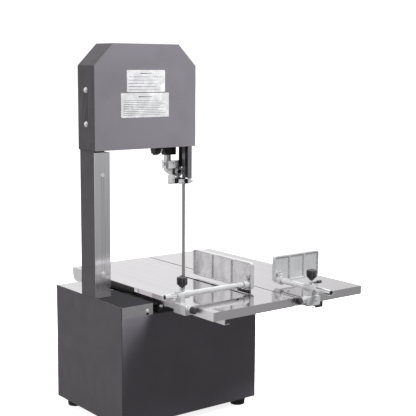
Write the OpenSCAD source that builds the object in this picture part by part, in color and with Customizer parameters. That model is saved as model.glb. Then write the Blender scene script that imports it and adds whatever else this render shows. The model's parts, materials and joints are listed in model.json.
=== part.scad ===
// Bench-top bone saw: a steel cabinet, a rear column, a wheel head, a band blade,
// a two-leaf stainless table, a gauge fence and a pusher plate.
// Millimetres. Origin on the floor at the middle of the cabinet; +X to the table side,
// +Y to the back, +Z up.

/* [Cabinet] */
// Height of the deck above the floor
deck_z = 290; // [270:5:300]
// Height of the rubber feet
foot_h = 20; // [15:1:25]
// Thickness of the sheet metal
sheet = 1.5; // [1:0.1:1.8]
// Height of the stainless tray on the deck
tray_h = 25; // [22:1:28]

/* [Head] */
// Clear height of the head above the deck
head_gap = 328; // [320:2:360]
// Height of the head
head_h = 232; // [228:1:250]
// Width of the corner chamfers
chamfer = 48; // [36:1:50]
// Diameter of both blade wheels
wheel_d = 220; // [216:1:220]
// Width of the wheel rims
rim_w = 26; // [22:1:28]

/* [Blade] */
// Width of the blade
blade_w = 13; // [10:1:16]
// Thickness of the blade
blade_t = 0.6; // [0.5:0.1:0.8]
// Width of the slot in the table
slot_w = 7; // [4:0.5:9]
// Diameter of the roller that backs the blade
roller_d = 22; // [18:1:22]

/* [Table] */
// Height of the table top above the deck
table_rise = 16; // [15:0.5:20]
// Height of the table apron
apron_h = 19; // [17:1:20]
// Length of the table, front to back
table_l = 572; // [520:2:600]
// Width of the main leaf
main_w = 225; // [215:1:226]
// Width of the side leaf
side_w = 201.4; // [180:0.2:230]

/* [Fence and pusher] */
// Length of the gauge fence
fence_l = 214; // [160:2:216]
// Length of the pusher plate
pusher_l = 137; // [100:1:150]
// Height of both plates
plate_h = 60; // [50:1:70]
// Diameter of the chrome rods
rod_d = 13; // [10:0.5:13]
// Diameter of the star knobs
star_d = 23; // [20:1:26]

/* [Hidden] */
$fn = 64;
run = 0.05;
bw = 376;
bd = 284;
bx0 = -bw / 2;
bx1 = bw / 2;
by0 = -bd / 2;
by1 = bd / 2;
roof_z = deck_z - tray_h;
tray_x1 = -107;
hx0 = -191;
hx1 = 79;
hy0 = -45;
hy1 = 26;
door_d = 8;
hz0 = deck_z + head_gap;
hz1 = hz0 + head_h;
blade_x = 65.7;
wheel_y = -18;
wheel_r = wheel_d / 2;
wheel_x = blade_x - wheel_r;
top_z = hz0 + 115;
low_z = roof_z - 117;
blade_y0 = wheel_y - blade_w / 2;
blade_y1 = wheel_y + blade_w / 2;
blade_ri = wheel_r + run;
blade_ro = blade_ri + blade_t;
post_x = 37;
post_y = 8;
post_w = 12;
guide_z = hz0 - 61;
roller_x = blade_x - 8.8;
roller_y = blade_y1 + run;
screw_y = hy1 + 17.5;
col_x1 = -148.7;
col_y0 = -36.5;
col_y1 = 24.4;
table_z = deck_z + table_rise;
table_x0 = -92.9;
table_y0 = -339.5;
table_y1 = table_y0 + table_l;
seam = 3.4;
leaf_x1 = table_x0 + main_w;
side_x0 = leaf_x1 + seam;
side_x1 = side_x0 + side_w;
rail_z0 = deck_z - 15;
top_t = 2;
clamp_z = deck_z + 10.5;
clamp_t = 16;
clamp_off = 8.6;
shoe_h = 3.6;
bar_x1 = 216;
clamp_r = 7.5;
fence_x = 94;
fence_kx = -94;
fence_y1 = -30;
fence_y0 = fence_y1 - fence_l;
fence_ry = -232;
fence_z0 = table_z + 6;
fence_rz = deck_z + 33.5;
push_y = -222;
push_x0 = 166.5;
push_rx = 178;
push_z0 = table_z + 9.5;
push_rz = deck_z + 31.5;
plate_t = 9;
rod_r = rod_d / 2;
boss_r = 8.75;
shaft_r = 10;
star_h = 21.5;
gland_x = 173;

// Shared shapes

module box(x0, x1, y0, y1, z0, z1) {
  translate([x0, y0, z0])
    cube([x1 - x0, y1 - y0, z1 - z0]);
}

module cyl_x(x0, x1, y, z, r) {
  translate([x0, y, z])
    rotate([0, 90, 0])
      cylinder(h = x1 - x0, r = r);
}

module cyl_y(y0, y1, x, z, r) {
  translate([x, y1, z])
    rotate([90, 0, 0])
      cylinder(h = y1 - y0, r = r);
}

module cyl_z(z0, z1, x, y, r) {
  translate([x, y, z0])
    cylinder(h = z1 - z0, r = r);
}

// Extrudes an XZ outline from y0 to y1
module slab_y(y0, y1) {
  translate([0, y1, 0])
    rotate([90, 0, 0])
      linear_extrude(y1 - y0)
        children();
}

// Extrudes a YZ outline from x0 to x1
module slab_x(x0, x1) {
  translate([x0, 0, 0])
    rotate([90, 0, 90])
      linear_extrude(x1 - x0)
        children();
}

// Rectangle with rounded corners
module soft_rect(x0, x1, y0, y1, r) {
  union() {
    translate([x0 + r, y0])
      square([x1 - x0 - 2 * r, y1 - y0]);
    translate([x0, y0 + r])
      square([x1 - x0, y1 - y0 - 2 * r]);
    for (x = [x0 + r, x1 - r], y = [y0 + r, y1 - r])
      translate([x, y])
        circle(r = r);
  }
}

// Dome-headed screw head on a face, pointing along -X
module dome_x(x, y, z, r, h) {
  intersection() {
    cyl_x(x - h, x, y, z, r);
    translate([x + r - h, y, z])
      sphere(r = r + 0.3);
  }
}

// Star knob on a vertical stud: eight shallow lobes over a short tapered neck
module star_knob(x, y, z0, h) {
  neck = h * 0.28;
  lobes = 8;
  difference() {
    union() {
      cyl_z(z0 + neck, z0 + h - 2, x, y, star_d / 2);
      translate([x, y, z0 + h - 2])
        cylinder(h = 2, r1 = star_d / 2, r2 = star_d / 2 - 2);
      translate([x, y, z0])
        cylinder(h = neck, r1 = star_d * 0.3, r2 = star_d / 2 - 0.5);
    }
    for (i = [0:lobes - 1])
      translate([x, y, z0 + neck - 1])
        rotate([0, 0, i * 360 / lobes])
          translate([star_d / 2 + 1.2, 0, 0])
            cylinder(h = h, r = 2.4);
  }
}

// Outline of the head at a given inset from its outside
module head_outline(inset, z_low) {
  c = chamfer;
  k = inset * 0.414;
  polygon([
    [hx0 + inset, z_low],
    [hx1 - inset, z_low],
    [hx1 - inset, hz1 - c - k],
    [hx1 - c - k, hz1 - inset],
    [hx0 + c + k, hz1 - inset],
    [hx0 + inset, hz1 - c - k]
  ]);
}

// Cabinet

module base_cabinet() {
  color([0.21, 0.20, 0.22])
    difference() {
      union() {
        box(bx0, bx1, by0, by1, foot_h, roof_z);
        box(bx0, bx0 + sheet, by0, by1, roof_z - 1, deck_z);
      }
      box(bx0 + sheet, bx1 - sheet, by0 + sheet, by1 - sheet, foot_h + 2, roof_z - sheet);
      box(-150, 150, by1 - 5, by1 + 5, 45, roof_z - 25);
      box(wheel_x + wheel_r - 9, wheel_x + wheel_r + 9, -38, 2, roof_z - 5, roof_z + 1);
      box(wheel_x - wheel_r - 8, wheel_x - wheel_r + 8, -34, 0, roof_z - 5, roof_z + 1);
      cyl_x(bx1 - 5, bx1 + 5, -30, 200, 9);
      for (x = [bx0 + 30, bx1 - 30], y = [by0 + 30, by1 - 30])
        cyl_z(foot_h - 1, foot_h + 5, x, y, 4.5);
    }
}

module rubber_feet() {
  color([0.07, 0.07, 0.07])
    for (x = [bx0 + 30, bx1 - 30], y = [by0 + 30, by1 - 30])
      difference() {
        translate([x, y, 0])
          cylinder(h = foot_h, r1 = 17, r2 = 19);
        cyl_z(-1, foot_h + 1, x, y, 4.5);
      }
}

module cabinet_door() {
  z0 = 37;
  z1 = roof_z - 17;
  color([0.22, 0.21, 0.23])
    difference() {
      union() {
        slab_y(by1 + 0.2, by1 + 2.2)
          soft_rect(-157, 158, z0, z1, 6);
        for (z = [z0 + 30, z1 - 54]) {
          cyl_z(z + 0.1, z + 23.9, -163, by1 + 4.2, 3.5);
          box(-163, -155, by1 + 0.8, by1 + 2.2, z + 0.1, z + 23.9);
        }
      }
      for (z = [z0 + 30, z1 - 54])
        cyl_z(z - 1, z + 25, -163, by1 + 4.2, 2 + run);
      cyl_y(by1 - 2, by1 + 5, 140, 140, 5 + run);
      for (i = [0:5])
        box(-60, 60, by1 - 2, by1 + 5, 70 + i * 9, 73 + i * 9);
    }
}

module hinge_pins() {
  cz0 = 37;
  cz1 = roof_z - 17;
  color([0.6, 0.6, 0.6]) {
    for (z = [cz0 + 30, cz1 - 54]) {
      cyl_z(z - 8, z + 32, -163, by1 + 4.2, 2);
      for (s = [z - 8, z + 24]) {
        cyl_z(s, s + 8, -163, by1 + 4.2, 3.5);
        box(-174, -163, by1, by1 + 2.2, s, s + 8);
      }
    }
    for (z = [hz0 + 30, hz0 + 130]) {
      cyl_z(z - 7, z + 27, hx1 + 3.3, -35.8, 1.5);
      for (s = [z - 7, z + 20]) {
        cyl_z(s, s + 7, hx1 + 3.3, -35.8, 3);
        box(hx1, hx1 + 2, -35.8, -24, s, s + 7);
      }
    }
  }
}

module door_latch() {
  color([0.12, 0.12, 0.13]) {
    cyl_y(by1 - 6, by1 + 4, 140, 140, 5);
    cyl_y(by1 + 2.25, by1 + 8, 140, 140, 10);
    box(137, 143, by1 + 8, by1 + 14, 128, 152);
    box(135, 145, by1 - 6, by1 - 4, 134, 165);
  }
}

module cable_gland() {
  color([0.08, 0.08, 0.08])
    difference() {
      union() {
        cyl_y(by1, by1 + 5, gland_x, 40, 11);
        cyl_y(by1 + 5, by1 + 17, gland_x, 40, 8.5);
        translate([gland_x, by1 + 17, 40])
          rotate([-90, 0, 0])
            cylinder(h = 14, r1 = 7, r2 = 5);
      }
      cyl_y(by1 - 1, by1 + 40, gland_x, 40, 3.5);
    }
}

// Deck

module deck_tray() {
  x0 = bx0 + sheet;
  color([0.78, 0.77, 0.76])
    difference() {
      box(x0, tray_x1, by0, by1, roof_z, deck_z);
      box(x0 + sheet, tray_x1 - sheet, by0 + sheet, by1 - sheet, roof_z - 1, deck_z - sheet);
      box(wheel_x - wheel_r - 6, wheel_x - wheel_r + 4, -32, -4, deck_z - 5, deck_z + 1);
      box(-124, -118, by0 - 1, by0 + 5, roof_z - 1, roof_z + 5);
      cyl_y(by0 - 1, by0 + 5, -121.4, deck_z - 15.5, 2.55);
    }
}

module support_bars() {
  color([0.13, 0.12, 0.14])
    difference() {
      union() {
        for (y = [by0 + 2, by1 - 32])
          box(-92, bar_x1, y, y + 30, roof_z, rail_z0);
        box(-92, -64.5, by0 + 2, by0 + 6, rail_z0 - 1, deck_z - 4);
        for (y = [by0 + 8, by1 - 26], x = [-30, 150])
          box(x, x + 18, y, y + 18, rail_z0 - 1, table_z - top_t);
        box(bar_x1 - 2, bar_x1, table_y0 + 1.6, table_y1 - 1.6, rail_z0 - 1, table_z - top_t);
        box(bar_x1 - 14, bar_x1, table_y0 + 1.6, table_y1 - 1.6, rail_z0 - 1, rail_z0 + 2);
        box(bar_x1 - 22, bar_x1, table_y0 + 1.6, table_y0 + 4.6, rail_z0 - 1, table_z - top_t);
        box(blade_x - 14, blade_x + 14, table_y0 + 40, blade_y0 - 7, table_z - 9, table_z - 6);
        box(blade_x - 8, blade_x + 8, by0 + 4, by0 + 28, rail_z0 - 1, table_z - 8);
        box(table_x0 - 1.2, table_x0, -45, 53, table_z - apron_h + 1, table_z - 1.8);
      }
      for (x = [-84, -72])
        cyl_y(by0 - 1, by0 + 12, x, deck_z - 10, 2.55);
    }
}

module panel_screws() {
  color([0.82, 0.82, 0.83]) {
    for (z = [deck_z + 273.6, deck_z + 54.9]) {
      translate([-167.5, col_y0, z])
        rotate([90, 0, 0])
          cylinder(h = 2.6, r1 = 5, r2 = 3.4);
      cyl_y(col_y0 - 1, col_y0 + 4.4, -167.5, z, 2.5);
    }
    translate([-121.4, by0, deck_z - 15.5])
      rotate([90, 0, 0])
        cylinder(h = 2.4, r1 = 4.6, r2 = 3.2);
    cyl_y(by0 - 1, by0 + 1.4, -121.4, deck_z - 15.5, 2.5);
    for (x = [-84, -72]) {
      translate([x, by0 + 2, deck_z - 10])
        rotate([90, 0, 0])
          cylinder(h = 2.4, r1 = 4.4, r2 = 3);
      cyl_y(by0 + 1, by0 + 5.9, x, deck_z - 10, 2.5);
    }
  }
}

// Column

module column_channel() {
  zt = hz1 - chamfer - 22;
  color([0.27, 0.26, 0.28])
    difference() {
      union() {
        box(bx0, bx0 + 3, col_y0 + sheet, col_y1, deck_z, zt);
        box(bx0, col_x1, col_y1 - 3, col_y1, deck_z, zt);
        box(bx0, bx0 + 26, col_y0 + sheet, col_y0 + sheet + 3, deck_z, hz0 + 40);
        box(bx0, col_x1 - sheet - 0.1, col_y0 + sheet, col_y1, deck_z, deck_z + 4);
      }
      box(wheel_x - wheel_r - 6, wheel_x - wheel_r + 4, -31, -5, deck_z - 1, deck_z + 5);
      for (z = [deck_z + 273.6, deck_z + 54.9])
        cyl_y(col_y0 - 1, col_y0 + 6, -167.5, z, 2.55);
      for (z = [hz0 + 57, hz0 + 131])
        cyl_x(bx0 - 1, bx0 + 5, -9, z, 4.05);
    }
}

module column_cover() {
  color([0.84, 0.83, 0.83])
    difference() {
      union() {
        box(bx0, col_x1, col_y0, col_y0 + sheet - 0.05, deck_z + 0.5, hz0 - 4);
        box(col_x1 - sheet, col_x1, col_y0, col_y1 - 3.1, deck_z + 0.5, hz0 - 4);
      }
      for (z = [deck_z + 273.6, deck_z + 54.9])
        cyl_y(col_y0 - 1, col_y0 + 6, -167.5, z, 2.55);
    }
}

// Head

module head_housing() {
  color([0.27, 0.26, 0.28])
    difference() {
      slab_y(hy0 + door_d + 0.1, hy1)
        head_outline(0, hz0);
      slab_y(hy0, hy1 - sheet)
        head_outline(sheet, hz0 - 1);
      slab_y(hy1 - 5, hy1 + 1)
        soft_rect(wheel_x - 12, wheel_x + 12, top_z - 18, top_z + 14, 11.9);
      for (z = [hz0 + 57, hz0 + 131])
        cyl_x(hx0 - 1, hx0 + 5, -9, z, 4.05);
    }
}

module head_door() {
  color([0.27, 0.26, 0.28])
    difference() {
      union() {
        difference() {
          slab_y(hy0, hy0 + door_d - 0.1)
            head_outline(0, hz0);
          slab_y(hy0 + sheet, hy0 + door_d + 1)
            head_outline(sheet, hz0 + sheet);
        }
        for (z = [hz0 + 30, hz0 + 130]) {
          cyl_z(z + 0.1, z + 19.9, hx1 + 3.3, -35.8, 3);
          box(hx1 - 1, hx1 + 3.3, -39, -37.2, z + 0.1, z + 19.9);
        }
      }
      for (z = [hz0 + 30, hz0 + 130])
        cyl_z(z - 1, z + 21, hx1 + 3.3, -35.8, 1.5 + run);
    }
}

module head_bolts() {
  color([0.85, 0.85, 0.86])
    for (z = [hz0 + 57, hz0 + 131]) {
      dome_x(hx0, -9, z, 7, 4);
      cyl_x(hx0 - 1, bx0 + 5, -9, z, 4);
      cyl_x(bx0 + 3, bx0 + 8, -9, z, 7);
    }
}

module data_plates() {
  color([0.93, 0.93, 0.93]) {
    slab_y(hy0 - 0.5, hy0)
      soft_rect(-109, -7, hz0 + 126, hz0 + 174.5, 2);
    slab_y(hy0 - 0.5, hy0)
      soft_rect(-124.5, 3.6, hz0 + 70, hz0 + 124, 2);
  }
}

// Blade and wheels

module wheel_body(z, bore_r) {
  translate([wheel_x, wheel_y, z])
    rotate([90, 0, 0])
      difference() {
        union() {
          difference() {
            cylinder(h = rim_w, r = wheel_r, center = true, $fn = 128);
            cylinder(h = rim_w + 2, r = wheel_r - 9, center = true, $fn = 128);
          }
          cylinder(h = 8, r = wheel_r - 8, center = true, $fn = 128);
          cylinder(h = 30, r = 28, center = true);
        }
        cylinder(h = 60, r = bore_r, center = true);
        for (i = [0:5])
          rotate([0, 0, i * 60])
            translate([64, 0, 0])
              cylinder(h = 20, r = 21, center = true);
      }
}

module upper_wheel() {
  color([0.62, 0.63, 0.64])
    wheel_body(top_z, 20);
}

module upper_bearings() {
  color([0.7, 0.7, 0.72])
    for (y = [wheel_y - 14, wheel_y + 2])
      difference() {
        cyl_y(y, y + 12, wheel_x, top_z, 20);
        cyl_y(y - 1, y + 13, wheel_x, top_z, 8.5 + run);
      }
}

module upper_axle() {
  color([0.66, 0.66, 0.68]) {
    cyl_y(wheel_y - 17, 30, wheel_x, top_z, 8.5);
    cyl_y(wheel_y - 19, wheel_y - 16, wheel_x, top_z, 12);
    cyl_y(wheel_y + 15.2, 20, wheel_x, top_z, 11);
  }
}

module tension_slide() {
  color([0.5, 0.5, 0.52])
    difference() {
      union() {
        box(wheel_x - 22, wheel_x + 22, hy1 + 0.1, hy1 + 26, top_z - 26, top_z + 26);
        box(wheel_x - 27, wheel_x + 27, hy1 + 5, hy1 + 10, top_z - 26, top_z + 26);
      }
      cyl_y(hy1 - 1, 30, wheel_x, top_z, 8.5);
      cyl_z(top_z - 27, top_z - 8, wheel_x, screw_y, 5.1);
    }
}

module tension_guides() {
  color([0.24, 0.23, 0.25])
    difference() {
      box(wheel_x - 38, wheel_x + 38, hy1, hy1 + 28, top_z - 60, top_z + 38);
      box(wheel_x - 22.1, wheel_x + 22.1, hy1 - 1, hy1 + 30, top_z - 48, top_z + 28);
      box(wheel_x - 27.1, wheel_x + 27.1, hy1 + 4.9, hy1 + 10.1, top_z - 48, top_z + 28);
      cyl_z(top_z - 62, top_z - 40, wheel_x, screw_y, 5 + run);
    }
}

module tension_screw() {
  color([0.75, 0.75, 0.76]) {
    cyl_z(top_z - 76, top_z - 12.2, wheel_x, screw_y, 5);
    cyl_z(top_z - 47.9, top_z - 44, wheel_x, screw_y, 7);
  }
}

module tension_knob() {
  color([0.1, 0.1, 0.1])
    difference() {
      union() {
        cyl_z(top_z - 80, top_z - 66, wheel_x, screw_y, 16);
        cyl_z(top_z - 66, top_z - 60.2, wheel_x, screw_y, 8);
      }
      cyl_z(top_z - 76, top_z - 58, wheel_x, screw_y, 5);
      for (i = [0:5])
        translate([wheel_x, screw_y, top_z - 81])
          rotate([0, 0, i * 60])
            translate([19, 0, 0])
              cylinder(h = 16, r = 5.5);
    }
}

module loop_outline(r) {
  union() {
    for (z = [low_z, top_z])
      translate([wheel_x, z])
        circle(r = r, $fn = 128);
    translate([wheel_x - r, low_z])
      square([2 * r, top_z - low_z]);
  }
}

module saw_blade() {
  color([0.55, 0.55, 0.56])
    slab_y(blade_y0, blade_y1)
      difference() {
        loop_outline(blade_ro);
        loop_outline(blade_ri);
      }
}

module lower_wheel() {
  color([0.62, 0.63, 0.64])
    wheel_body(low_z, shaft_r);
}

// Drive

module lower_shaft() {
  color([0.66, 0.66, 0.68]) {
    cyl_y(wheel_y - 18, 74, wheel_x, low_z, shaft_r);
    cyl_y(wheel_y - 22, wheel_y - 16, wheel_x, low_z, 14);
  }
}

module drive_plate() {
  color([0.24, 0.23, 0.25])
    difference() {
      union() {
        box(-150, 178, 15, 23, foot_h + 2, roof_z - 12);
        box(-150, 178, 15, 60, foot_h + 2, foot_h + 8);
      }
      cyl_y(10, 30, wheel_x, low_z, 30);
      cyl_y(10, 30, 120, 92, 20);
    }
}

module shaft_housing() {
  color([0.3, 0.3, 0.31])
    difference() {
      union() {
        cyl_y(0, 44, wheel_x, low_z, 30);
        cyl_y(23, 31, wheel_x, low_z, 46);
      }
      cyl_y(-1, 45, wheel_x, low_z, 13);
      cyl_y(1, 16, wheel_x, low_z, 23.5);
      cyl_y(-1, 2, wheel_x, low_z, 21);
      cyl_y(28, 43, wheel_x, low_z, 23.5);
      cyl_y(42, 46, wheel_x, low_z, 21);
    }
}

module shaft_bearings() {
  color([0.7, 0.7, 0.72])
    for (y = [2, 28])
      difference() {
        cyl_y(y, y + 14, wheel_x, low_z, 23.5);
        cyl_y(y - 1, y + 15, wheel_x, low_z, shaft_r + run);
      }
}

module driven_pulley() {
  color([0.4, 0.4, 0.41])
    difference() {
      union() {
        cyl_y(50, 70, wheel_x, low_z, 52);
        cyl_y(50, 53, wheel_x, low_z, 60);
        cyl_y(67, 70, wheel_x, low_z, 60);
      }
      cyl_y(49, 71, wheel_x, low_z, shaft_r);
      for (i = [0:3])
        translate([wheel_x, 0, low_z])
          rotate([0, i * 90 + 45, 0])
            translate([32, 60, 0])
              rotate([90, 0, 0])
                cylinder(h = 30, r = 10, center = true);
    }
}

module motor_pulley() {
  color([0.4, 0.4, 0.41])
    union() {
      cyl_y(50, 70, 120, 92, 18);
      cyl_y(50, 53, 120, 92, 25);
      cyl_y(67, 70, 120, 92, 25);
      cyl_y(20.2, 51, 120, 92, 7);
    }
}

// Straight belt runs tangent to both pulleys, as a four-sided band
module belt_outline(r1, r2) {
  dx = 120 - wheel_x;
  dz = 92 - low_z;
  d = sqrt(dx * dx + dz * dz);
  a = atan2(dz, dx);
  b = acos((r1 - r2) / d);
  union() {
    translate([wheel_x, low_z])
      circle(r = r1, $fn = 96);
    translate([120, 92])
      circle(r = r2, $fn = 96);
    polygon([
      [wheel_x + r1 * cos(a + b), low_z + r1 * sin(a + b)],
      [120 + r2 * cos(a + b), 92 + r2 * sin(a + b)],
      [120 + r2 * cos(a - b), 92 + r2 * sin(a - b)],
      [wheel_x + r1 * cos(a - b), low_z + r1 * sin(a - b)]
    ]);
  }
}

module drive_belt() {
  color([0.06, 0.06, 0.06])
    slab_y(54, 66)
      difference() {
        belt_outline(57, 23);
        belt_outline(52 + run, 18 + run);
      }
}

module drive_motor() {
  color([0.3, 0.31, 0.33])
    difference() {
      union() {
        cyl_y(-92, 6, 120, 92, 50);
        cyl_y(-104, -91, 120, 92, 44);
        cyl_y(5, 15, 120, 92, 46);
        for (i = [0:11])
          translate([120, 0, 92])
            rotate([0, i * 30, 0])
              translate([49, -80, -1.5])
                cube([3.2, 80, 3]);
        box(140, 172, -70, -20, 135, 160);
      }
      cyl_y(-20, 16, 120, 92, 7.1);
    }
}

// Blade guides

module guide_holder() {
  w = post_w / 2 + run;
  color([0.1, 0.1, 0.1])
    difference() {
      union() {
        box(26, 56, -0.6, 16.6, hz0 - 22, hz0 + 80);
        box(22, 52, 16, hy1 - sheet, hz0 + 10, hz0 + 76);
      }
      box(post_x - w, post_x + w, post_y - w, post_y + w, hz0 - 23, hz0 + 81);
      cyl_x(20, 32, post_y, hz0 - 9, 4 + run);
    }
}

module holder_knob() {
  color([0.09, 0.09, 0.09])
    union() {
      cyl_x(-4, 15, post_y, hz0 - 9, 10.5);
      for (i = [0:7])
        translate([-3, post_y, hz0 - 9])
          rotate([i * 45, 0, 0])
            translate([0, 9.6, 0])
              rotate([0, 90, 0])
                cylinder(h = 17, r = 2.9);
      cyl_x(14, 25.9, post_y, hz0 - 9, 8);
      cyl_x(25, 30.9, post_y, hz0 - 9, 4);
    }
}

module guide_post() {
  w = post_w / 2;
  color([0.74, 0.74, 0.75])
    box(post_x - w, post_x + w, post_y - w, post_y + w, hz0 - 60, hz1 - 28);
}

module guide_bracket() {
  w = post_w / 2;
  z = guide_z;
  color([0.77, 0.77, 0.76])
    difference() {
      union() {
        box(27, 51, -11, 16, z + 8, z + 26);
        box(50, 55.5, -11, 6, z + 8, z + 26);
        slab_y(-5, 6)
          union() {
            translate([42, z + 6])
              circle(r = 14);
            translate([42, z - 10])
              square([20, 30]);
          }
        slab_y(-5, 6)
          soft_rect(38, 50, z - 29, z + 8, 3);
        box(29.8, 44.6, -12, -4, z - 26.8, z - 7.2);
        box(34, 79, -5, 2, z - 29, z - 16);
        box(44, 62, -11, -4, z - 16.5, z - 12.8);
      }
      box(post_x - w, post_x + w, post_y - w, post_y + w, z - 60, z + 90);
      box(26, 36, -9.8, -0.5, z + 7, z + 27);
      cyl_y(-13, -5, roller_x, z, roller_d / 2 + 1.6);
      cyl_y(-12, 8, roller_x, z, 3 + run);
      cyl_x(26, 32, post_y, z + 17, 2.5 + run);
      for (x = [41, 48.5])
        cyl_y(-12, -8, x, z + 20, 1.6);
    }
}

module blade_roller() {
  wide = 6.3;
  color([0.72, 0.72, 0.73])
    translate([roller_x, roller_y, guide_z])
      rotate([-90, 0, 0])
        rotate_extrude()
          polygon([
            [3 + run, 0],
            [6.2, 0],
            [6.2, 0.6],
            [7.8, 0.6],
            [7.8, 0],
            [roller_d / 2 - 0.4, 0],
            [roller_d / 2, 0.4],
            [roller_d / 2, wide - 0.4],
            [roller_d / 2 - 0.4, wide],
            [3 + run, wide]
          ]);
}

module roller_pin() {
  color([0.15, 0.15, 0.16])
    difference() {
      union() {
        cyl_y(roller_y - 1, 4, roller_x, guide_z, 3);
        cyl_y(roller_y - 3, roller_y - 0.3, roller_x, guide_z, 4.6);
      }
      cyl_y(roller_y - 4, roller_y - 1.2, roller_x, guide_z, 2);
    }
}

// Two hard pads on either side of the blade, a black block, the roller's shroud and the
// wedge above it
module guide_pads() {
  z = guide_z;
  color([0.12, 0.12, 0.13]) {
    box(46, 56.3, -14, -5.05, z - 28, z - 16.6);
    box(61.2, 65.2, -27.5, -5.05, z - 28, z - 17);
    box(66.9, 70, -27.5, -5.05, z - 28, z - 17);
    difference() {
      cyl_y(-9.2, -5.05, roller_x, z, roller_d / 2 + 1.5);
      cyl_y(-10, -5, roller_x, z, roller_d / 2 + 0.3);
    }
    slab_y(-9.8, -5.05)
      polygon([
        [55.6, z + 12.8],
        [67.5, z + 12.8],
        [67.5, z + 30],
        [61, z + 28],
        [55.6, z + 24]
      ]);
  }
}

module guide_screws() {
  z = guide_z;
  color([0.8, 0.8, 0.81]) {
    cyl_x(23.9, 26.95, post_y, z + 17, 4.5);
    cyl_x(26, 30.9, post_y, z + 17, 2.5);
    box(47, 61, -27, -23.5, z - 28, z - 17);
    box(57, 61, -24, -5.05, z - 27, z - 18);
    translate([58, -27, z - 23.5])
      sphere(r = 3);
    box(70.1, 79, -29, -5.05, z - 28, z - 17);
    cyl_x(79, 84.5, -26, z - 22.5, 3);
  }
}

module blade_guard() {
  z0 = hz0 - 76.5;
  z1 = hz1 - 55;
  color([0.5, 0.5, 0.52])
    union() {
      box(64, 75.2, -36.9, -35.5, z0, z1);
      box(74, 75.2, -36.9, 0.2, z0, z1);
      box(64, 75.2, -1, 0.2, z0 + 40, z1);
      box(74, 75.2, 0, 7.6, z0 + 24, z0 + 40);
      box(51.1, 75.2, 6.2, 7.6, z0 + 24, z0 + 40);
    }
}

// Table

module leaf(x0, x1) {
  a = 1.5;
  color([0.86, 0.85, 0.85])
    difference() {
      translate([0, 0, table_z - apron_h])
        linear_extrude(apron_h)
          soft_rect(x0, x1, table_y0, table_y1, 2.5);
      box(x0 + a, x1 - a, table_y0 + a, table_y1 - a, table_z - apron_h - 1, table_z - top_t);
      children();
    }
}

module main_table() {
  s = slot_w / 2;
  leaf(table_x0, leaf_x1) {
    box(blade_x - s, blade_x + s, table_y0 + 63, blade_y1 + 5, table_z - 5, table_z + 1);
    box(blade_x - 5, blade_x + 5, blade_y0 - 8, blade_y1 + 8, table_z - 5, table_z - 1);
  }
}

module side_table() {
  leaf(side_x0, side_x1);
}

// Rail under the main leaf, with a rounded stop plate at its rear left corner
module table_rail() {
  x = -63;
  color([0.8, 0.79, 0.78]) {
    box(x, x + 2, table_y0 + 1.6, table_y1 - 1.6, rail_z0, table_z - top_t);
    box(x, x + 26, table_y0 + 1.6, table_y1 - 1.6, table_z - top_t - 2, table_z - top_t);
    box(x, x + 14, table_y0 + 1.6, table_y1 - 1.6, rail_z0, rail_z0 + 2);
    slab_x(table_x0 + 1.6, table_x0 + 4)
      soft_rect(table_y1 - 42, table_y1 - 1.6, rail_z0 - 2, table_z - top_t, 12);
    box(table_x0 + 3, x + 1, table_y1 - 4, table_y1 - 1.6, rail_z0 + 4, table_z - top_t);
  }
}

// Gauge fence

module fence_bracket() {
  x0 = table_x0 - clamp_t;
  near = fence_ry - 32;
  color([0.79, 0.79, 0.79])
    difference() {
      union() {
        cyl_x(fence_kx - 15.5, fence_kx + 15.5, fence_ry, fence_rz, boss_r);
        box(table_x0 - 12, table_x0, fence_ry - 9, fence_ry + 9, table_z - 15, fence_rz);
        slab_x(x0, table_x0)
          soft_rect(near, fence_ry + 10, deck_z - 4, clamp_z + 6.5, 3);
        cyl_z(fence_rz, fence_rz + boss_r + 3, fence_kx, fence_ry, 6);
      }
      cyl_x(fence_kx - 20, fence_kx + 20, fence_ry, fence_rz, rod_r + run);
      cyl_z(fence_rz + 2, fence_rz + 20, fence_kx, fence_ry, 3 + run);
      cyl_y(near - 1, near + 18, table_x0 - clamp_off, clamp_z, 3.5 + run);
      cyl_x(x0 - 1, x0 + 1.8, fence_ry - 7, deck_z + 3, 2.6);
    }
}

module fence_rod() {
  color([0.86, 0.86, 0.87])
    difference() {
      cyl_x(-139, 93.9, fence_ry, fence_rz, rod_r);
      cyl_x(-140, -79, fence_ry, fence_rz, rod_r - 1.6);
    }
}

// Cast plate in its own XZ plane: solid back, three recessed panels, an eye for the rod
module cast_plate(len, rx, rz, zlow) {
  rib = 3.2;
  deep = 2.6;
  panels = 3;
  pitch = (len - rib) / panels;
  difference() {
    union() {
      difference() {
        slab_y(0, plate_t)
          soft_rect(0, len, zlow, zlow + plate_h, 6);
        for (i = [0:panels - 1])
          slab_y(-1, deep)
            soft_rect(rib + i * pitch, (i + 1) * pitch, zlow + rib, zlow + plate_h - rib, 2.5);
      }
      cyl_y(-14, plate_t - 1, rx, rz, 9.8);
      box(rx - 5, rx + 5, -11, plate_t - 1, rz, rz + 15);
    }
    cyl_y(-15, plate_t + 1, rx, rz, rod_r + run);
    translate([rx, -4, rz])
      cylinder(h = 16, r = 2.5 + run);
  }
}

module fence_plate() {
  color([0.74, 0.74, 0.75]) {
    translate([fence_x - plate_t, fence_y0, 0])
      rotate([0, 0, 90])
        mirror([0, 1, 0])
          cast_plate(fence_l, fence_ry - fence_y0, fence_rz, fence_z0);
    box(fence_x - plate_t, fence_x, fence_y0 + 9.5, fence_y0 + 48, table_z + shoe_h, fence_z0 + 2);
  }
}

// Wear shoe under the plate's near end, just clear of the table
module fence_shoe() {
  color([0.08, 0.08, 0.08])
    box(fence_x - plate_t, fence_x, fence_y0 + 9.5, fence_y0 + 48, table_z + 0.6, table_z + shoe_h);
}

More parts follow.
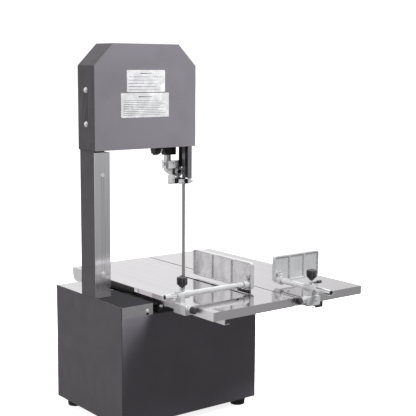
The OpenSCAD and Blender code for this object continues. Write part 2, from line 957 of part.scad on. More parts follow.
module fence_screw() {
  x = fence_x - plate_t - 4;
  color([0.8, 0.8, 0.81]) {
    cyl_z(fence_rz + rod_r + run, fence_rz + 18, x, fence_ry, 2.5);
    cyl_z(fence_rz + 15.05, fence_rz + 20, x, fence_ry, 4);
  }
}

module fence_knob() {
  color([0.08, 0.08, 0.09]) {
    star_knob(fence_kx, fence_ry, fence_rz + boss_r + 8, star_h);
    cyl_z(fence_rz + rod_r + run, fence_rz + boss_r + 10, fence_kx, fence_ry, 3);
  }
}

module fence_clamp() {
  x = table_x0 - clamp_off;
  y = fence_ry - 32.1;
  color([0.09, 0.09, 0.09]) {
    cyl_y(y - 24, y - 12, x, clamp_z, clamp_r);
    cyl_y(y - 13, y, x, clamp_z, clamp_r - 1.2);
    cyl_y(y - 1, y + 17, x, clamp_z, 3.5);
  }
}

// Pusher

module pusher_bracket() {
  y0 = table_y0 - clamp_t;
  left = push_rx - 26;
  color([0.79, 0.79, 0.79])
    difference() {
      union() {
        cyl_y(table_y0 - 15, table_y0 + 16, push_rx, push_rz, boss_r);
        box(push_rx - 9, push_rx + 9, table_y0 - 12, table_y0, table_z - 15, push_rz);
        slab_y(y0, table_y0)
          soft_rect(left, push_rx + 12, deck_z - 4, clamp_z + 6.5, 3);
        cyl_z(push_rz, push_rz + boss_r + 3, push_rx, table_y0, 6);
      }
      cyl_y(table_y0 - 20, table_y0 + 20, push_rx, push_rz, rod_r + run);
      cyl_z(push_rz + 2, push_rz + 20, push_rx, table_y0, 3 + run);
      cyl_x(left - 1, left + 18, table_y0 - clamp_off, clamp_z, 3.5 + run);
      cyl_y(y0 - 1, y0 + 1.8, push_rx, deck_z + 4, 2.6);
    }
}

module pusher_rod() {
  color([0.86, 0.86, 0.87])
    difference() {
      cyl_y(-401, push_y - 0.1, push_rx, push_rz, rod_r);
      cyl_y(-402, -341, push_rx, push_rz, rod_r - 1.6);
    }
}

module pusher_plate() {
  color([0.72, 0.72, 0.72])
    translate([push_x0, push_y - plate_t, 0])
      cast_plate(pusher_l, push_rx - push_x0, push_rz, push_z0);
}

module pusher_screw() {
  y = push_y - plate_t - 4;
  color([0.8, 0.8, 0.81]) {
    cyl_z(push_rz + rod_r + run, push_rz + 18, push_rx, y, 2.5);
    cyl_z(push_rz + 15.05, push_rz + 20, push_rx, y, 4);
  }
}

module pusher_knob() {
  color([0.08, 0.08, 0.09]) {
    star_knob(push_rx, table_y0, push_rz + boss_r + 10.5, star_h);
    cyl_z(push_rz + rod_r + run, push_rz + boss_r + 12, push_rx, table_y0, 3);
  }
}

module pusher_clamp() {
  x = push_rx - 26.1;
  y = table_y0 - clamp_off;
  color([0.09, 0.09, 0.09]) {
    cyl_x(x - 23, x - 12, y, clamp_z, clamp_r);
    cyl_x(x - 13, x, y, clamp_z, clamp_r - 1.2);
    cyl_x(x - 1, x + 17, y, clamp_z, 3.5);
  }
}

// Controls

module switch_box() {
  x1 = bx1 + 30;
  color([0.14, 0.14, 0.15])
    difference() {
      union() {
        slab_x(bx1, x1)
          soft_rect(-62, 2, 158, 242, 5);
        cyl_x(x1 - 1, x1 + 2, -30, 218, 14);
        cyl_x(x1 - 1, x1 + 2, -30, 182, 14);
      }
      slab_x(bx1 - 1, x1 - 2.5)
        soft_rect(-59, -1, 161, 239, 3);
      cyl_x(x1 - 5, x1 + 5, -30, 218, 10 + run);
      cyl_x(x1 - 5, x1 + 5, -30, 182, 10 + run);
    }
}

module start_button() {
  color([0.1, 0.5, 0.2]) {
    cyl_x(bx1 + 20, bx1 + 33.5, -30, 218, 10);
    cyl_x(bx1 + 20, bx1 + 24, -30, 218, 12);
  }
}

module stop_button() {
  color([0.7, 0.08, 0.07]) {
    cyl_x(bx1 + 20, bx1 + 36, -30, 182, 10);
    cyl_x(bx1 + 20, bx1 + 24, -30, 182, 12);
    cyl_x(bx1 + 36, bx1 + 42, -30, 182, 15);
  }
}

base_cabinet();
cabinet_door();
hinge_pins();
door_latch();
deck_tray();
support_bars();
rubber_feet();
column_channel();
column_cover();
panel_screws();
head_housing();
head_door();
head_bolts();
data_plates();
upper_wheel();
upper_bearings();
upper_axle();
tension_slide();
tension_guides();
tension_screw();
tension_knob();
saw_blade();
lower_wheel();
lower_shaft();
shaft_housing();
shaft_bearings();
driven_pulley();
drive_belt();
motor_pulley();
drive_motor();
drive_plate();
guide_holder();
holder_knob();
guide_post();
guide_bracket();
blade_roller();
roller_pin();
guide_pads();
guide_screws();
blade_guard();
main_table();
side_table();
table_rail();
fence_bracket();
fence_rod();
fence_plate();
fence_shoe();
fence_screw();
fence_knob();
fence_clamp();
pusher_bracket();
pusher_rod();
pusher_plate();
pusher_screw();
pusher_knob();
pusher_clamp();
switch_box();
start_button();
stop_button();
cable_gland();
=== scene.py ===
"""Looks for the bone saw.

The CAD nodes keep their shapes and get materials and small rounded edges. The knobs, the
blade and the data plates are made again with finer shapes. Lengths are in metres.
"""

import json
import math

import bmesh
import bpy
from mathutils import Matrix, Vector

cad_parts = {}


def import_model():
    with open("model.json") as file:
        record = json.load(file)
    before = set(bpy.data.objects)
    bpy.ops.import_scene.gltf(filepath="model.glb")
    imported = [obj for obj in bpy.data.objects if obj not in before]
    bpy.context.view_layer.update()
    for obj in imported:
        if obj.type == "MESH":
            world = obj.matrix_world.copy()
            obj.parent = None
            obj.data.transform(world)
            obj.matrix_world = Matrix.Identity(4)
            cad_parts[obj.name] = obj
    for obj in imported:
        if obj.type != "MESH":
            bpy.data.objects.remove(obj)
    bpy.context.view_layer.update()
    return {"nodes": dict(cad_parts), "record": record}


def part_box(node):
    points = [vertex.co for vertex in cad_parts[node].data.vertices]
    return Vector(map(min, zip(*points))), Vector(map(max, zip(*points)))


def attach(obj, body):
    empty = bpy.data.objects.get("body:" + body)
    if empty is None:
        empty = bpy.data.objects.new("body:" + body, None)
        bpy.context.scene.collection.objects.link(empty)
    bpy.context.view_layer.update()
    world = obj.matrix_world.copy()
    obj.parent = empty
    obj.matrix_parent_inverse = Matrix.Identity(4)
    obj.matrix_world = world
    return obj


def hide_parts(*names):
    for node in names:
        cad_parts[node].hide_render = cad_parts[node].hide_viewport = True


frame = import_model()
NODES = frame["nodes"]
SLOT_OF = {s["node"]: s["material_slot"] for s in frame["record"]["subparts"]}
MM = 0.001
TAU = 2 * math.pi


# ---------------------------------------------------------------- shader helpers


class Graph:
    """A small helper that adds and joins shader nodes."""

    def __init__(self, name):
        self.mat = bpy.data.materials.new(name)
        self.mat.use_nodes = True
        self.tree = self.mat.node_tree
        self.bsdf = self.tree.nodes["Principled BSDF"]
        self.coord = self.add("ShaderNodeTexCoord").outputs["Object"]

    def add(self, kind, **settings):
        """Adds a node; a setting is one of its properties or one of its inputs."""
        node = self.tree.nodes.new(kind)
        for key, value in settings.items():
            if hasattr(node, key):
                setattr(node, key, value)
            else:
                node.inputs[key].default_value = value
        return node

    def link(self, a, b):
        self.tree.links.new(a, b)

    def noise(self, scale, detail=2.0, rough=0.5, stretch=(1, 1, 1)):
        """Noise of about 1/scale metres, drawn out along an axis whose stretch is small."""
        place = self.add("ShaderNodeMapping", Scale=stretch)
        self.link(self.coord, place.inputs["Vector"])
        tex = self.add("ShaderNodeTexNoise", Scale=scale, Detail=detail, Roughness=rough)
        self.link(place.outputs["Vector"], tex.inputs["Vector"])
        return tex.outputs["Fac"]

    def ramp(self, value, low, high, start=0.35, end=0.65):
        """Goes smoothly from low to high while the value goes from start to end."""
        node = self.add("ShaderNodeMapRange", interpolation_type="SMOOTHSTEP")
        for key, given in (("From Min", start), ("From Max", end), ("To Min", low), ("To Max", high)):
            node.inputs[key].default_value = given
        self.link(value, node.inputs["Value"])
        return node.outputs["Result"]

    def fade(self, factor, low, high):
        """Goes from low to high while a factor goes from 0 to 1."""
        return self.ramp(factor, low, high, 0.0, 1.0)

    def mix(self, factor, *colors):
        """Mixes two colours, each given as numbers or as a socket."""
        node = self.add("ShaderNodeMix", data_type="RGBA")
        for slot, color in zip((s for s in node.inputs if s.type == "RGBA"), colors):
            if isinstance(color, tuple):
                slot.default_value = (*color, 1)
            else:
                self.link(color, slot)
        self.link(factor, node.inputs["Factor"])
        return [s for s in node.outputs if s.type == "RGBA"][0]

    def bump(self, value, height, strength=1.0, normal=None):
        node = self.add("ShaderNodeBump", Distance=height, Strength=strength)
        self.link(value, node.inputs["Height"])
        if normal is not None:
            self.link(normal, node.inputs["Normal"])
        return node.outputs["Normal"]

    def axis(self, vector, name, start, end):
        """0 before start and 1 after end along one axis of a vector."""
        split = self.add("ShaderNodeSeparateXYZ")
        self.link(vector, split.inputs[0])
        return self.ramp(split.outputs[name], 0.0, 1.0, start, end)

    def facing(self, name, start, end):
        """1 on faces whose true normal is past end along an axis, 0 before start."""
        normal = self.add("ShaderNodeNewGeometry").outputs["True Normal"]
        return self.axis(normal, name, start, end)

    def along(self, name, start, end):
        """0 before start and 1 after end, in millimetres of the shared frame."""
        return self.axis(self.coord, name, start * MM, end * MM)

    def seen(self):
        """1 where the camera looks straight at the surface, 0 in reflections and bounces."""
        return self.add("ShaderNodeLightPath").outputs["Is Camera Ray"]

    def times(self, a, b):
        node = self.add("ShaderNodeMath", operation="MULTIPLY")
        self.link(a, node.inputs[0])
        self.link(b, node.inputs[1])
        return node.outputs[0]

    def finish(self, color, rough=None, normal=None, **values):
        """Joins the sockets to the surface and sets its plain values."""
        self.link(color, self.bsdf.inputs["Base Color"])
        if rough is not None:
            self.link(rough, self.bsdf.inputs["Roughness"])
        if normal is not None:
            self.link(normal, self.bsdf.inputs["Normal"])
        for key, value in values.items():
            self.bsdf.inputs[key].default_value = value
        return self.mat


def shade(color, factor, lift=0.0):
    """A colour made darker or lighter, held to at most 1."""
    return tuple(min(1, c * factor + lift) for c in color)


# ---------------------------------------------------------------- materials

GRAIN_Y = (1, 0.02, 1)
GRAIN_Z = (1, 1, 0.02)
STREAK_DEPTH = 0.00001


def paint(name, color, rough):
    """Powder coat: fine orange peel, faint cloudy variation and handling smears."""
    g = Graph(name)
    tone = g.mix(g.ramp(g.noise(9, 4), 0, 1), shade(color, 0.94), shade(color, 1.06))
    peel = g.bump(g.noise(650, 3, 0.6), 0.00003)
    smudge = g.noise(26, 5, 0.6)
    return g.finish(tone, g.ramp(smudge, rough - 0.04, rough + 0.05), peel, IOR=1.45)


def streaks(g, grain, depth=STREAK_DEPTH):
    """The fine scratches that brushing leaves."""
    return g.bump(g.noise(900, 4, 0.7, grain), depth)


def brushed_tone(g, color, grain, dark=0.94, start=0.35, end=0.65):
    """Broad, faint bands along the grain."""
    return g.mix(g.ramp(g.noise(90, 3, 0.6, grain), 0, 1, start, end), shade(color, dark), color)


def smears(g, low, high):
    """Roughness in soft, hand-sized patches."""
    return g.ramp(g.noise(12, 4, 0.55), low, high)


def brushed(name, color, rough, grain=GRAIN_Y, metal=1.0):
    """Brushed steel: fine streaks along the grain, with soft smears."""
    g = Graph(name)
    tone = brushed_tone(g, color, grain, start=0.3, end=0.7)
    return g.finish(tone, smears(g, rough, rough + 0.05), streaks(g, grain, 0.000012), Metallic=metal)


def tray_steel(name, color, dark):
    """Brushed deck sheet; ahead of the column its top carries a painted reflection: for camera rays
    only, a flat near-black colour with no shine stands in for the table's dark underside mirrored
    there.
    """
    g = Graph(name)
    # Painted reflection: top faces ahead of the column, as the camera sees them, lose their metal and
    # shine and take the dark colour
    painted_reflection = g.times(g.times(g.facing("Z", 0.5, 0.9), g.along("Y", 24, 18)), g.seen())
    g.link(g.fade(painted_reflection, 1.0, 0.0), g.bsdf.inputs["Metallic"])
    g.link(g.fade(painted_reflection, 0.5, 0.0), g.bsdf.inputs["Specular IOR Level"])
    tone = g.mix(painted_reflection, brushed_tone(g, color, GRAIN_Y), dark)
    return g.finish(tone, smears(g, 0.10, 0.16), streaks(g, GRAIN_Y))


def cover_steel(name, color, dark):
    """Brushed column cover; its foot carries a painted reflection: for camera rays only, a darker
    colour stands in for the dark gap beside the table mirrored there.
    """
    g = Graph(name)
    # Painted reflection: as the camera sees it, the cover darkens towards its foot, below Z 336 to
    # 318 mm
    painted_reflection_foot = g.times(g.along("Z", 336, 318), g.seen())
    tone = g.mix(painted_reflection_foot, brushed_tone(g, color, GRAIN_Z), dark)
    return g.finish(tone, smears(g, 0.08, 0.14), streaks(g, GRAIN_Z), Metallic=1.0)


def table_steel(name, color):
    """Polished table top; its rims are brushed dull except beside the column."""
    g = Graph(name)
    dull_rim = g.times(g.fade(g.facing("Z", 0.3, 0.8), 1.0, 0.0), g.along("Y", -120, -200))
    tone = g.mix(dull_rim, brushed_tone(g, color, GRAIN_Y, 0.95), shade(color, 1.2))
    return g.finish(tone, g.fade(dull_rim, 0.05, 0.38), streaks(g, GRAIN_Y, 0.000003), Metallic=1.0)


def plated(name, color, rough):
    """Chrome plate: bright, with faint hairlines and finger smears."""
    g = Graph(name)
    smear = g.noise(45, 5, 0.65)
    tone = g.mix(g.ramp(smear, 0, 1), shade(color, 0.9), color)
    hairlines = g.bump(g.noise(1400, 2, 0.5), STREAK_DEPTH)
    return g.finish(tone, g.ramp(smear, rough, rough + 0.07), hairlines, Metallic=0.9)


def cast(name, color, rough):
    """Cast metal: cloudy tone, pitted skin, softly polished high spots."""
    g = Graph(name)
    depth = 0.00012
    mottle = g.noise(38, 6, 0.6, (1, 1, 0.6))
    tone = g.mix(g.ramp(mottle, 0, 1, 0.3, 0.7), shade(color, 0.84), color)
    soft_edges = g.add("ShaderNodeBevel", samples=6, Radius=1.6 * MM).outputs["Normal"]
    skin = g.bump(g.noise(420, 4, 0.6), depth * 0.35, 0.6, soft_edges)
    normal = g.bump(mottle, depth, 0.6, skin)
    return g.finish(tone, g.ramp(mottle, rough + 0.08, rough - 0.06), normal, Metallic=0.85)


def inner_shade_steel(name, outside, painted_shade_color):
    """Ground steel outside; the faces that look back at the blade (-X) get painted shade, a
    near-black colour with no metal that stands in for the shadow inside the guard's channel.
    """
    g = Graph(name)
    streak = g.noise(900, 4, 0.7, GRAIN_Z)
    # Painted shade: faces turned towards -X take the dark colour and lose their metal
    painted_shade_side = g.facing("X", -0.5, -0.9)
    steel = g.mix(g.ramp(streak, 0, 1), shade(outside, 0.93), outside)
    g.link(g.fade(painted_shade_side, 1.0, 0.0), g.bsdf.inputs["Metallic"])
    tone = g.mix(painted_shade_side, steel, painted_shade_color)
    return g.finish(tone, g.fade(painted_shade_side, 0.26, 0.5), g.bump(streak, STREAK_DEPTH))


def plastic(name, color, rough, depth=0.00006, grain=900):
    """Moulded plastic: fine spark texture and dull, handled patches."""
    g = Graph(name)
    wear = g.noise(60, 4, 0.6)
    tone = g.mix(g.ramp(wear, 0, 1, 0.4, 0.75), color, shade(color, 1.35, 0.004))
    skin = g.bump(g.noise(grain, 3, 0.6), depth)
    return g.finish(tone, g.ramp(wear, rough - 0.06, rough + 0.08), skin, IOR=1.45)


MATS = {
    "grey_paint": paint("grey_paint", (0.084, 0.076, 0.087), 0.42),
    "dark_paint": paint("dark_paint", (0.012, 0.011, 0.012), 0.42),
    "stainless": brushed("stainless", (0.78, 0.765, 0.77), 0.12),
    "table_steel": table_steel("table_steel", (0.78, 0.76, 0.78)),
    # The last colour is the painted reflection on the deck ahead of the column
    "tray_steel": tray_steel("tray_steel", (0.78, 0.765, 0.77), (0.020, 0.019, 0.021)),
    # The last colour is the painted reflection at the column cover's foot
    "cover_steel": cover_steel("cover_steel", (0.97, 0.95, 0.98), (0.33, 0.32, 0.34)),
    "chrome": plated("chrome", (0.93, 0.93, 0.95), 0.08),
    "steel": brushed("steel", (0.66, 0.65, 0.67), 0.22, (1, 1, 0.03)),
    # The second colour is the painted shade on the guard's inner faces
    "guard_steel": inner_shade_steel("guard_steel", (0.45, 0.45, 0.48), (0.09, 0.09, 0.093)),
    "blade_steel": brushed("blade_steel", (0.36, 0.345, 0.35), 0.36, GRAIN_Z, metal=0.5),
    "cast_aluminium": cast("cast_aluminium", (0.88, 0.87, 0.88), 0.27),
    "cast_iron": cast("cast_iron", (0.30, 0.30, 0.31), 0.45),
    "black_plastic": plastic("black_plastic", (0.026, 0.023, 0.026), 0.36),
    "black_oxide": plastic("black_oxide", (0.014, 0.013, 0.014), 0.30, 0.00002),
    "rubber": plastic("rubber", (0.02, 0.02, 0.02), 0.7, 0.00012, 500),
    "plate_white": plastic("plate_white", (0.26, 0.25, 0.255), 0.35, 0.00001, 700),
    "plate_ink": plastic("plate_ink", (0.12, 0.12, 0.13), 0.5, 0.00001, 700),
    "green_plastic": plastic("green_plastic", (0.02, 0.22, 0.05), 0.28, 0.00003),
    "red_plastic": plastic("red_plastic", (0.45, 0.01, 0.01), 0.28, 0.00003),
}

# Nodes whose look differs from the plain look of their material slot
SPECIAL = {
    "main_table": "table_steel",
    "side_table": "table_steel",
    "deck_tray": "tray_steel",
    "column_cover": "cover_steel",
    "blade_guard": "guard_steel",
    "roller_pin": "black_oxide",
    "blade_roller": "chrome",
}


# ---------------------------------------------------------------- CAD nodes kept as they are

# Edge rounding in millimetres: folded sheet, castings and rubber have the wider edges
FINE_EDGE = 0.35
EDGE = {
    "base_cabinet": 1.0,
    "head_housing": 1.2,
    "head_door": 1.2,
    "column_channel": 0.8,
    "fence_plate": 1.2,
    "pusher_plate": 1.2,
    "fence_bracket": 1.2,
    "pusher_bracket": 1.2,
    "guide_bracket": 0.8,
    "main_table": 0.8,
    "side_table": 0.8,
    "rubber_feet": 1.5,
    "drive_motor": 0.8,
}


def round_edges(obj, width, angle):
    """Rounds the edges sharper than an angle and keeps the flat faces flat."""
    bevel = obj.modifiers.new("bevel", "BEVEL")
    bevel.width = width * MM
    bevel.segments = 2
    bevel.limit_method = "ANGLE"
    bevel.angle_limit = math.radians(angle)
    normals = obj.modifiers.new("normals", "WEIGHTED_NORMAL")
    normals.keep_sharp = False


def dress(name, obj):
    """Gives a kept CAD node its material and small rounded edges."""
    obj.data.materials.clear()
    obj.data.materials.append(MATS[SPECIAL.get(name, SLOT_OF[name])])
    weld = obj.modifiers.new("weld", "WELD")
    weld.merge_threshold = 0.01 * MM
    round_edges(obj, EDGE.get(name, FINE_EDGE), 32)


for node_name, node_object in NODES.items():
    dress(node_name, node_object)


# ---------------------------------------------------------------- mesh helpers


def link_object(name, data):
    """Makes an object from its data and puts it in the scene."""
    obj = bpy.data.objects.new(name, data)
    bpy.context.scene.collection.objects.link(obj)
    return obj


def piece(name, bm, body, slot, replaced=(), look=None, edge=0.0, smooth=True):
    """Turns a bmesh into a piece that rides on a body and stands for some CAD nodes."""
    bmesh.ops.recalc_face_normals(bm, faces=bm.faces)
    mesh = bpy.data.meshes.new(name)
    bm.to_mesh(mesh)
    bm.free()
    for poly in mesh.polygons:
        poly.use_smooth = smooth
    obj = link_object(name, mesh)
    mesh.materials.append(MATS[look or slot])
    if edge:
        round_edges(obj, edge, 40)
    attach(obj, body)
    if replaced:
        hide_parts(*replaced)


def sized(rows, across, along):
    """Scales rows of radius, height and lobe weight; a row without a weight has none."""
    return [(a * across, b * along, weight[0] if weight else 0) for a, b, *weight in rows]


def join_rings(bm, a, b):
    """Joins two closed rings of points with a strip of faces."""
    for i in range(len(a)):
        j = (i + 1) % len(a)
        bm.faces.new((a[i], a[j], b[j], b[i]))


def turn(bm, profile, origin, axis, lobes=0, depth=0.0, sides=96):
    """Lathes sized rows about an axis; lobes scallop the rim."""
    lean = Vector((0, 0, 1)).rotation_difference(Vector(axis)).to_matrix().to_4x4()
    place = Matrix.Translation(Vector(origin)) @ lean
    rings = []
    for radius, height, weight in profile:
        ring = []
        for i in range(sides):
            a = TAU * i / sides
            cut = depth * weight * (0.5 - 0.5 * math.cos(lobes * a)) ** 1.6
            r = max(radius - cut, 1e-6)
            ring.append(bm.verts.new(place @ Vector((r * math.cos(a), r * math.sin(a), height))))
        rings.append(ring)
    for low, high in zip(rings, rings[1:]):
        join_rings(bm, low, high)
    bm.faces.new(list(reversed(rings[0])))
    bm.faces.new(rings[-1])


def turned(name, body, slot, profile, origin, axis, replaced=(), **shape):
    """One turned piece."""
    bm = bmesh.new()
    turn(bm, profile, origin, axis, **shape)
    piece(name, bm, body, slot, replaced)


# ---------------------------------------------------------------- knobs

# Rows of radius, height and lobe weight, as shares of the knob's own radius and height
STAR = [
    (0.22, 0.00, 0), (0.47, 0.00, 0), (0.51, 0.03, 0), (0.57, 0.10, 0.1), (0.70, 0.17, 0.5),
    (0.86, 0.225, 0.9), (0.96, 0.28, 1), (1.00, 0.35, 1), (1.00, 0.90, 1), (0.985, 0.945, 1),
    (0.94, 0.98, 0.9), (0.86, 1.00, 0.8), (0.62, 1.00, 0.3), (0.56, 0.985, 0), (0.50, 0.955, 0),
    (0.10, 0.95, 0),
]
RIBBED_HEAD = [
    (0.40, 0.0, 0), (0.86, 0.0, 0), (0.95, 0.05, 0.6), (1.0, 0.14, 1), (1.0, 0.78, 1),
    (0.97, 0.87, 1), (0.90, 0.945, 0.7), (0.74, 0.99, 0.2), (0.50, 1.0, 0), (0.08, 1.0, 0),
]
RIBBED_COLLAR = [
    (0.60, 0.0), (0.80, 0.02), (0.84, 0.06), (0.84, 0.30), (0.80, 0.33), (0.62, 0.34),
    (0.62, 0.52), (0.80, 0.54), (0.84, 0.58), (0.84, 0.94), (0.80, 0.99), (0.5, 1.0),
]
# The same with heights in millimetres
HOLDER = [
    (0.10, 0.6, 0), (0.60, 0.0, 0), (0.84, 0.3, 0.6), (0.95, 1.2, 1), (1.0, 2.6, 1), (1.0, 12.5, 1),
    (0.95, 15.0, 1), (0.84, 16.6, 0.6), (0.70, 17.4, 0.2), (0.40, 17.6, 0),
]
# The same all in millimetres
STAR_COLLAR = [(3.02, 0.05), (5.3, 0.05), (5.6, 0.4), (5.6, 2.0), (5.3, 2.3), (3.02, 2.3)]
HOLDER_COLLAR = [(6.6, 17.4), (8, 18.0), (8, 23.2), (7.2, 23.9), (7.2, 29.8), (4, 29.85), (4, 34.8)]
LOCK_SHANK = [(1.6, 0), (1.9, 0.3), (1.9, 12)]
LOCK_HEAD = [(1.5, 11, 1), (3.0, 11, 1), (3.4, 11.5, 1), (3.4, 22.5, 1), (3.0, 23, 1), (0.8, 23.1, 1)]

STAR_HEIGHT = 21.5 * MM
CLAMP_NECK = 11.9 * MM


def star_knob(name, node, bracket):
    """Fluted knob: dished top and eight flutes over a short neck, on a bright stud with a collar."""
    low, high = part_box(node)
    r = (high.x - low.x) / 2
    cx, cy = (low.x + high.x) / 2, (low.y + high.y) / 2
    base = high.z - STAR_HEIGHT
    boss_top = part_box(bracket)[1].z
    up = (0, 0, 1)
    flutes = {"lobes": 8, "depth": 0.14 * r}
    rows = sized(STAR, r, STAR_HEIGHT)
    turned(name, node, "black_plastic", rows, (cx, cy, base), up, (node,), **flutes)
    stud = sized([(2.7, 0), (3.0, 0.3), (3.0, (base - low.z) / MM + 1)], MM, MM)
    turned(name + "_stud", node, "chrome", stud, (cx, cy, low.z), up, sides=32)
    collar = sized(STAR_COLLAR, MM, MM)
    turned(name + "_collar", node, "steel", collar, (cx, cy, boss_top), up, sides=48)


def ribbed_knob(name, node, axis, head):
    """Small ribbed cylinder knob with a domed end, a stepped collar and a stud."""
    low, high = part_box(node)
    k = [abs(c) for c in axis].index(1)
    r = max(high[i] - low[i] for i in range(3) if i != k) / 2
    tip, end = (low[k], high[k]) if axis[k] < 0 else (high[k], low[k])

    def at(place):
        """The point of the knob's own axis at a place along it."""
        point = (low + high) / 2
        point[k] = place
        return point

    neck_end = tip - axis[k] * head
    neck_start = neck_end - axis[k] * CLAMP_NECK
    ribs = {"lobes": 16, "depth": 0.09 * r, "sides": 128}
    rows = sized(RIBBED_HEAD, r, head)
    turned(name, node, "black_plastic", rows, at(neck_end), axis, (node,), **ribs)
    collar = sized(RIBBED_COLLAR, r, CLAMP_NECK)
    turned(name + "_collar", node, "chrome", collar, at(neck_start), axis, sides=64)
    length = abs(end - neck_start) + 0.5 * MM
    stud = sized([(0.40, 0), (0.46, 0.5 * MM), (0.46, length)], r, 1)
    turned(name + "_stud", node, "steel", stud, at(end), axis, sides=32)


def lock_screw():
    """Dark thumb screw across the top of the pusher bracket, just clear of its knob's stud."""
    low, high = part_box("pusher_knob")
    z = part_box("pusher_bracket")[1].z - 0.6 * MM
    start = ((low.x + high.x) / 2 + 6.05 * MM, (low.y + high.y) / 2, z)
    bm = bmesh.new()
    turn(bm, sized(LOCK_SHANK, MM, MM), start, (1, 0, 0), sides=32)
    turn(bm, sized(LOCK_HEAD, MM, MM), start, (1, 0, 0), 12, 0.25 * MM)
    piece("pusher_lock_screw", bm, "frame", "black_plastic")


def holder_knob():
    """Lobed lock knob on the guide holder, with a bright collar."""
    node = "holder_knob"
    low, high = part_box(node)
    r = (high.y - low.y) / 2
    start = (low.x, (low.y + high.y) / 2, (low.z + high.z) / 2)
    lobes = {"lobes": 8, "depth": 0.16 * r}
    rows = sized(HOLDER, r, MM)
    turned("holder_lobes", node, "black_plastic", rows, start, (1, 0, 0), (node,), **lobes)
    turned("holder_collar", node, "chrome", sized(HOLDER_COLLAR, MM, MM), start, (1, 0, 0), sides=48)


star_knob("fence_star", "fence_knob", "fence_bracket")
star_knob("pusher_star", "pusher_knob", "pusher_bracket")
ribbed_knob("fence_clamp_knob", "fence_clamp", (0, -1, 0), 12 * MM)
ribbed_knob("pusher_clamp_knob", "pusher_clamp", (-1, 0, 0), 11 * MM)
lock_screw()
holder_knob()


# ---------------------------------------------------------------- blade with teeth

BLADE_THICK = 0.6 * MM
TOOTH_PITCH = 4.85 * MM
GULLET = 2.1 * MM
# One tooth: shares of the pitch, and of the gullet's depth behind the tip
TOOTH = [(0.0, 0.0), (0.16, 0.30), (0.40, 0.95), (0.62, 1.0), (0.86, 0.72)]


def toothed_blade():
    """The band with its teeth, run round both wheels."""
    low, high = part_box("saw_blade")
    r = (high.x - low.x) / 2 - BLADE_THICK
    cx = (low.x + high.x) / 2
    z_low = low.z + r + BLADE_THICK
    z_high = high.z - r - BLADE_THICK
    straight = z_high - z_low
    arc = math.pi * (r + BLADE_THICK / 2)
    total = 2 * (straight + arc)

    def on_wheel(z, angle):
        outward = Vector((math.cos(angle), 0, math.sin(angle)))
        return Vector((cx, 0, z)) + outward * r, outward

    def station(s):
        """Point and outward direction, a distance s on from the top of the right-hand run."""
        if s < straight:
            return Vector((cx + r, 0, z_high - s)), Vector((1, 0, 0))
        if s < straight + arc:
            return on_wheel(z_low, -(s - straight) / arc * math.pi)
        if s < 2 * straight + arc:
            return Vector((cx - r, 0, z_low + s - straight - arc)), Vector((-1, 0, 0))
        return on_wheel(z_high, math.pi - (s - 2 * straight - arc) / arc * math.pi)

    teeth = round(total / TOOTH_PITCH)
    bm = bmesh.new()
    rings = []
    for tooth in range(teeth):
        for share, back in TOOTH:
            point, outward = station((tooth + share) / teeth * total)
            bulge = outward * BLADE_THICK
            front, root, rear = (Vector((0, y, 0)) for y in
                                 (low.y + back * GULLET, low.y + 1.25 * GULLET, high.y))
            section = (front, root, rear, rear + bulge, root + bulge, front + bulge)
            rings.append([bm.verts.new(point + v) for v in section])
    for a, b in zip(rings, rings[1:] + rings[:1]):
        join_rings(bm, a, b)
    piece("toothed_blade", bm, "frame", "blade_steel", ("saw_blade",), smooth=False)


toothed_blade()


# ---------------------------------------------------------------- data plates

PLATE_SPLIT = 125 * MM
PLATE_CORNER = 2 * MM
UPPER_PLATE_LEFT = 15.5 * MM
UPPER_PLATE_RIGHT = 10.6 * MM
INK_THICK = 0.03 * MM


def rounded_outline(x0, x1, z0, z1, corner):
    """Points round a rectangle with rounded corners, 15 degrees apart."""
    x0, x1, z0, z1 = x0 + corner, x1 - corner, z0 + corner, z1 - corner
    ring = []
    for cx, cz, start in ((x1, z1, 0), (x0, z1, 90), (x0, z0, 180), (x1, z0, 270)):
        for i in range(7):
            a = math.radians(start + i * 15)
            ring.append((cx + corner * math.cos(a), cz + corner * math.sin(a)))
    return ring


def slab(bm, outline, front, back):
    """A plate with an outline in X and Z, between two places in Y."""
    far, near = ([bm.verts.new((x, y, z)) for x, z in outline] for y in (back, front))
    bm.faces.new(near)
    bm.faces.new(list(reversed(far)))
    join_rings(bm, near, far)


def data_plates():
    """Two plates with rounded corners that carry ruled lines and no lettering."""
    low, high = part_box("data_plates")
    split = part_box("head_door")[0].z + PLATE_SPLIT
    spans = [
        (low.x, high.x, low.z, split - 1 * MM),
        (low.x + UPPER_PLATE_LEFT, high.x - UPPER_PLATE_RIGHT, split + 1 * MM, high.z),
    ]
    plates = bmesh.new()
    rules = bmesh.new()

    def rule(x0, x1, z, tall):
        """A thin ink bar on the plates' face."""
        outline = ((x0, z), (x1, z), (x1, z + tall), (x0, z + tall))
        slab(rules, outline, low.y - INK_THICK, low.y)

    for (x0, x1, z0, z1), rows in zip(spans, (9, 5)):
        slab(plates, rounded_outline(x0, x1, z0, z1, PLATE_CORNER), low.y, high.y)
        wide, tall = x1 - x0, z1 - z0
        rule(x0 + 0.36 * wide, x1 - 0.36 * wide, z1 - 0.17 * tall, 2.4 * MM)
        for i in range(rows):
            short = wide * (0.06 + 0.22 * ((i * 3 + rows) % 5) / 5)
            rule(x0 + 0.05 * wide, x1 - short, z1 - tall * (0.32 + 0.58 * i / (rows - 1)), 1.1 * MM)
    piece("blank_plates", plates, "head_door", "plate_white", ("data_plates",), edge=0.15)
    piece("plate_rules", rules, "head_door", "plate_white", look="plate_ink")


data_plates()


# ---------------------------------------------------------------- room and floor

# Brightness of the room as metal reflects it: the walls, and their share below the horizon
FRONT_WALL = 0.52
BACK_WALL = 0.90
BELOW_FRONT = 0.45
BELOW_BACK = 0.68
RIGHT_FADE = 0.60
